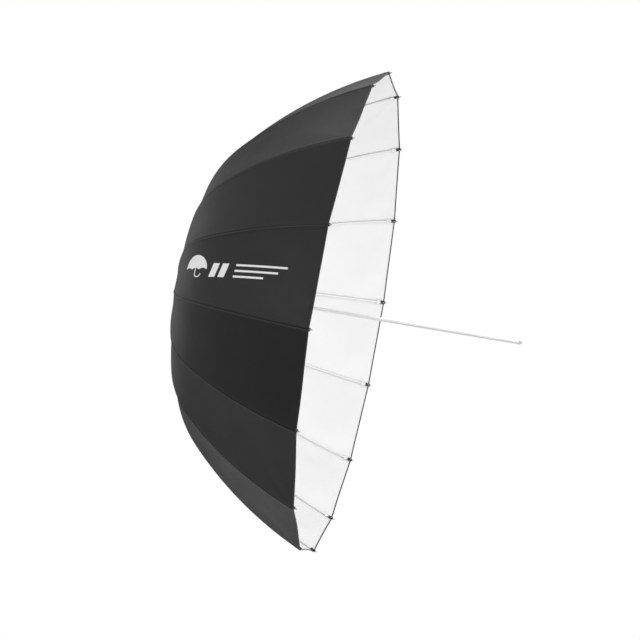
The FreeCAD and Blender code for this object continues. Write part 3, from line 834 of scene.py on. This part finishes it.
# ---------------------------------------------------------------- ribs
HINGE_DISTANCE = distance_at(HINGE_R, ROD_DEPTH)
ROD_LENGTH = length_of(ROD_DEPTH)
HINGE_X, _, HINGE_HEADING = meridian(HINGE_DISTANCE, ROD_DEPTH)
ROD_IN_FITTING, ROD_SHORT_OF_RIM = 0.013, 0.004
# the straight root fitting leans by this much from the rod's heading at the hinge
FITTING_LEAN = math.radians(0.53)


def rod_mesh():
    """The curved rod of one rib over +Z, from its root fitting into its end cap."""
    sides, steps = 16, 90
    first, last = HINGE_DISTANCE + ROD_IN_FITTING, ROD_LENGTH - ROD_SHORT_OF_RIM
    points, uvs = [], []
    for step in range(steps + 1):
        distance = first + (last - first) * step / steps
        x, r, heading = meridian(distance, ROD_DEPTH)
        turn = facing(heading)
        for side in range(sides):
            angle = 2 * math.pi * side / sides
            local = Vector((0, ROD_R * math.cos(angle), ROD_R * math.sin(angle)))
            points.append(Vector((x, 0, r)) + turn @ local)
            uvs.append((side / sides * 2 * math.pi * ROD_R, distance))
    made = mesh_object("rod", points, ring_faces(steps + 1, sides), [rod_material])
    write_uv(made, "Rod", uvs)
    return made


def root_fitting_mesh():
    """A steel tube pressed flat at its inner end, where the crown wire goes through."""
    turn = facing(HINGE_HEADING - FITTING_LEAN)
    start = Vector((HINGE_X, 0, HINGE_R))
    sides = 24
    flat_end = 0.007
    # along, half width across Y, half height
    shape = (
        (-0.0022, 0.0009, 0.0004),
        (-0.0020, 0.0010, 0.0012),
        (-0.0012, 0.0010, 0.0019),
        (0.0, 0.0010, 0.0022),
        (0.0040, 0.0010, 0.0022),
        (0.0066, 0.0012, 0.0023),
        (0.0084, 0.0021, 0.0024),
        (0.0096, 0.0024, 0.0024),
        (0.0230, 0.0024, 0.0024),
        (0.0240, 0.0022, 0.0022),
        (0.0240, 0.00205, 0.00205),
    )
    points = []
    for along, wide, high in shape:
        # the flat part is nearly square in section, the tube round
        power = 0.45 if along < flat_end else 1.0
        for side in range(sides):
            angle = 2 * math.pi * side / sides
            cosine, sine = math.cos(angle), math.sin(angle)
            y = wide * math.copysign(abs(cosine) ** power, cosine)
            z = high * math.copysign(abs(sine) ** power, sine)
            points.append(start + turn @ Vector((along, y, z)))
    faces = ring_faces(len(shape), sides)
    return mesh_object("root_fitting", points, faces, [bright_steel])


def saddle_meshes():
    """The clip round the rod and the boss on it that carries the stretcher's rivet."""
    x, r, heading = meridian(HINGE_DISTANCE + SADDLE_PLACE, ROD_DEPTH)
    turn = facing(heading)
    start = Vector((x, 0, r))
    profile = (
        (-0.006, 0.00202),
        (-0.006, 0.00235),
        (-0.0055, 0.0025),
        (0.0055, 0.0025),
        (0.006, 0.00235),
        (0.006, 0.00202),
    )
    clip = lathe("saddle", profile, 24, start, turn, black_plastic)
    boss = lathe(
        "saddle_boss",
        ((0.0, 0.0021), (0.0024, 0.0021), (0.0026, 0.0019), (0.0028, 0.0011)),
        20,
        start,
        Matrix.Rotation(math.pi / 2, 3, "Z"),
        black_plastic,
    )
    return clip, boss


CAP_OVAL = 1.5
TIP_RIVET_PLACE = -0.0025


def tip_meshes():
    """The black end cap of a rib, its pale collar and the small metal pin in it."""
    x, r, heading = meridian(ROD_LENGTH, ROD_DEPTH)
    start, turn = Vector((x, 0, r)), facing(heading)
    cap = lathe(
        "tip_cap",
        (
            (-0.0095, 0.00204),
            (-0.0095, 0.0021),
            (-0.0091, 0.0024),
            (-0.0032, 0.0024),
            (-0.0026, 0.00222),
            (-0.0012, 0.00222),
            (-0.0006, 0.0024),
            (0.0012, 0.0024),
            (0.0016, 0.0021),
        ),
        24,
        start,
        turn,
        black_plastic,
    )
    # the cap is a flat oval, wider across the rib than it is deep
    for vertex in cap.data.vertices:
        vertex.co.y *= CAP_OVAL
    rivet = lathe(
        "tip_rivet",
        ((0.0021, 0.0010), (0.0027, 0.0010), (0.0029, 0.0006)),
        16,
        start + turn @ Vector((TIP_RIVET_PLACE, 0, 0)),
        turn @ Matrix.Rotation(math.pi / 2, 3, "Y"),
        bright_steel,
    )
    collar = lathe(
        "tip_collar",
        ((0.0016, 0.0019), (0.0023, 0.0019), (0.0026, 0.0016), (0.0026, 0.0013)),
        20,
        start,
        turn,
        pale_plastic,
    )
    pin = lathe(
        "tip_pin",
        ((0.0026, 0.0012), (0.0060, 0.0012), (0.0065, 0.001), (0.0067, 0.0006)),
        16,
        start,
        turn,
        bright_steel,
    )
    return cap, collar, pin, rivet


POCKET_HALF, POCKET_THICK, POCKET_HIGH = 0.0052, 0.00035, 0.0024
# how far before the rod's end the pocket starts and stops
POCKET_START, POCKET_STOP = 0.0198, 0.0120
# its edges lie this far out from the rod's middle, less what the cloth falls away
POCKET_EDGE, CLOTH_FALL = 0.0017, 0.27


def pocket_mesh():
    """The white sleeve sewn to the cloth over the rod, just before the end cap."""
    first, last = ROD_LENGTH - POCKET_START, ROD_LENGTH - POCKET_STOP
    steps, columns = 14, 12
    outer, inner = [], []
    for step in range(steps + 1):
        distance = first + (last - first) * (step / steps)
        x, r, heading = meridian(distance, ROD_DEPTH)
        turn = facing(heading)
        for place in range(columns + 1):
            across = -1 + 2 * place / columns
            # the cloth falls away inwards on both sides of the rib
            flat = CLOTH_FALL * abs(across) * POCKET_HALF - POCKET_EDGE
            # a low arch over the rod, flat on the cloth at both sides
            arch = math.exp(-((across * 1.9) ** 2))
            for thick, kept in ((0.0, outer), (POCKET_THICK, inner)):
                high = POCKET_HIGH * arch + (1 - arch) * flat + thick
                local = Vector((0, across * POCKET_HALF, -high))
                kept.append(Vector((x, 0, r)) + turn @ local)
    points = outer + inner
    faces, _ = layer_faces(steps, columns)
    made = mesh_object("pocket", points, faces, [white_cloth])
    write_uv(made, "Cloth", [(point.y, point.z) for point in points])
    # a row of stitches runs along both edges of the pocket
    write_values(made, "from_first_seam", [0.0100 - abs(point.y) for point in points])
    return made


def copies(master, label):
    """The same piece at each of the sixteen ribs, riding on that rib."""
    made = [master]
    for _ in range(RIBS - 1):
        thing = bpy.data.objects.new(label, master.data)
        bpy.context.scene.collection.objects.link(thing)
        made.append(thing)
    for number, thing in enumerate(made, start=1):
        thing.name = f"{label}_{number:02d}"
        thing.matrix_world = around(number - 1)
    for number, thing in enumerate(made, start=1):
        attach(thing, f"rib_{number:02d}")
    return made


rods = copies(rod_mesh(), "rib_rod")
for number, rod in enumerate(rods, start=1):
    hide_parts(f"rib_{number:02d}")
root_fitting, pocket = root_fitting_mesh(), pocket_mesh()
copies(root_fitting, "rib_root_fitting")
copies(pocket, "rib_pocket")
for master, label in zip(saddle_meshes(), ("rib_saddle", "rib_saddle_boss")):
    copies(master, label)
TIP_LABELS = ("rib_tip_cap", "rib_tip_collar", "rib_tip_pin", "rib_tip_rivet")
for master, label in zip(tip_meshes(), TIP_LABELS):
    copies(master, label)

# ---------------------------------------------------------------- lock spring
COIL_X, COIL_FOOT, COIL_FLOOR = -0.49864, 0.00688, 0.0066
COIL_R, COIL_WIRE, COIL_PITCH, COIL_TURNS = 0.0016, 0.00022, 0.00072, 5


def coil_mesh():
    """The coil under the lock lever, wound upwards round a vertical line."""
    sides, per_turn = 10, 28
    points = []
    for step in range(COIL_TURNS * per_turn + 1):
        angle = 2 * math.pi * step / per_turn
        outward = Vector((math.cos(angle), math.sin(angle), 0))
        rise = COIL_FOOT + COIL_PITCH * step / per_turn
        middle = Vector((COIL_X, 0, rise)) + COIL_R * outward
        for side in range(sides):
            around_wire = 2 * math.pi * side / sides
            lift = Vector((0, 0, COIL_WIRE * math.sin(around_wire)))
            points.append(middle + outward * COIL_WIRE * math.cos(around_wire) + lift)
    faces = ring_faces(COIL_TURNS * per_turn + 1, sides)
    return mesh_object("lock_coil", points, faces, [bright_steel])


coil = coil_mesh()
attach(coil, "runner")
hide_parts("lock_spring")
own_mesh(coil)

# ---------------------------------------------------------------- CAD pieces kept
# the material of each, and how wide its edges are rounded
FINISHES = {
    "shaft": (shaft_metal, 0.0002),
    "shaft_end_cap": (grey_plastic, 0.0003),
    "crown_notch": (crown_plastic, 0.0003),
    "crown_wire": (bright_steel, None),
    "crown_cap": (crown_plastic, 0.0005),
    "crown_pin": (bright_steel, 0.0002),
    "stop_clip": (shaft_metal, 0.00015),
    "runner": (crown_plastic, 0.0003),
    "runner_wire": (bright_steel, None),
    "lock_lever": (bright_steel, 0.0003),
    "lock_pin": (bright_steel, 0.0002),
}
for number in range(1, RIBS + 1):
    FINISHES[f"stretcher_{number:02d}"] = (strip_steel, 0.00015)
for name, (material, edge) in FINISHES.items():
    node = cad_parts[name]
    node.data.materials.clear()
    node.data.materials.append(material)
    if edge is not None:
        round_edges(node, edge)

# ---------------------------------------------------------------- floor, light, camera
FLOOR_X, FLOOR_Z, FLOOR_R, FLOOR_SIDES = -0.28, -1.45, 2.1, 96
# brightness of the studio behind the crown and before the mouth, and its share below
BACK_GLOW, FRONT_GLOW, LOW_GLOW = 0.24, 1.19, 0.55


def floor_material():
    """A pale matt floor whose shade changes slowly."""
    material, tree, shader = new_material("pale_floor")
    place = tree.nodes.new("ShaderNodeTexCoord").outputs["Object"]
    slow = noise(tree, place, 2.0, 3.0)
    colour = ramp(tree, slow, ((0.3, (0.62, 0.62, 0.62)), (0.7, (0.66, 0.66, 0.66))))
    tree.links.new(colour, shader.inputs["Base Color"])
    shader.inputs["Roughness"].default_value = 0.8
    return material


rim = []
for side in range(FLOOR_SIDES):
    angle = 2 * math.pi * side / FLOOR_SIDES
    rim.append((FLOOR_R * math.cos(angle), FLOOR_R * math.sin(angle), FLOOR_Z))
floor = mesh_object("floor", rim, [tuple(range(FLOOR_SIDES))], [floor_material()], False)
floor.location.x = FLOOR_X

world = bpy.data.worlds.new("studio")
world.use_nodes = True
bpy.context.scene.world = world
tree = world.node_tree
tree.nodes.clear()
out = tree.nodes.new("ShaderNodeOutputWorld")
# the camera sees plain white, and the object is lit by the studio
seen = tree.nodes.new("ShaderNodeBackground")
seen.inputs["Color"].default_value = (1, 1, 1, 1)
lit = tree.nodes.new("ShaderNodeBackground")
# a bright studio in front of the mouth, and a dim one behind the crown
direction = tree.nodes.new("ShaderNodeSeparateXYZ")
generated = tree.nodes.new("ShaderNodeTexCoord").outputs["Generated"]
tree.links.new(generated, direction.inputs[0])
forward_share = level(tree, direction.outputs["X"], 0.0, 1.0, -0.35, -0.05)
glow = level(tree, forward_share, BACK_GLOW, FRONT_GLOW)
height_share = level(tree, direction.outputs["Z"], LOW_GLOW, 1.0, -0.6, 0.1)
glow = maths(tree, "MULTIPLY", glow, height_share)
tree.links.new(glow, lit.inputs["Color"])
path = tree.nodes.new("ShaderNodeLightPath")
mix = tree.nodes.new("ShaderNodeMixShader")
tree.links.new(path.outputs["Is Camera Ray"], mix.inputs["Fac"])
tree.links.new(lit.outputs[0], mix.inputs[1])
tree.links.new(seen.outputs[0], mix.inputs[2])
tree.links.new(mix.outputs[0], out.inputs["Surface"])

BOWL_MIDDLE = (-0.35, 0.0, 0.0)


def area_light(name, place, width, height, watts):
    """A soft box that faces the middle of the bowl."""
    data = bpy.data.lights.new(name, "AREA")
    data.shape = "RECTANGLE"
    data.size = width
    data.size_y = height
    data.energy = watts
    light = bpy.data.objects.new(name, data)
    light.location = place
    aim = Vector(BOWL_MIDDLE) - Vector(place)
    light.rotation_euler = aim.to_track_quat("-Z", "Y").to_euler()
    bpy.context.scene.collection.objects.link(light)


# name, place, width and height in metres, and watts
area_light("top", (-0.9, 1.4, 2.4), 2.4, 2.0, 20)
area_light("mouth", (2.5, -1.0, -1.1), 1.6, 1.6, 49)
area_light("back", (-2.7, 1.2, 0.1), 1.6, 2.0, 10)
area_light("left", (-3.2, -1.9, 1.4), 1.6, 1.6, 40)

# the photograph's camera, found by fitting the rib tips and the shaft
CAMERA_PLACE = (0.310, -4.089, 0.324)
CAMERA_RIGHT = (0.9739, 0.1679, 0.1531)
CAMERA_FORWARD = (-0.1566, 0.9841, -0.0833)

camera_data = bpy.data.cameras.new("camera")
camera_data.sensor_width = 36
camera_data.lens = 108.3
camera = bpy.data.objects.new("camera", camera_data)
right = Vector(CAMERA_RIGHT).normalized()
forward = Vector(CAMERA_FORWARD).normalized()
up = right.cross(forward).normalized()
right = forward.cross(up).normalized()
turn = Matrix((right, up, -forward)).transposed().to_4x4()
camera.matrix_world = Matrix.Translation(CAMERA_PLACE) @ turn
bpy.context.scene.collection.objects.link(camera)
bpy.context.scene.camera = camera
bpy.context.scene.view_settings.view_transform = "Standard"
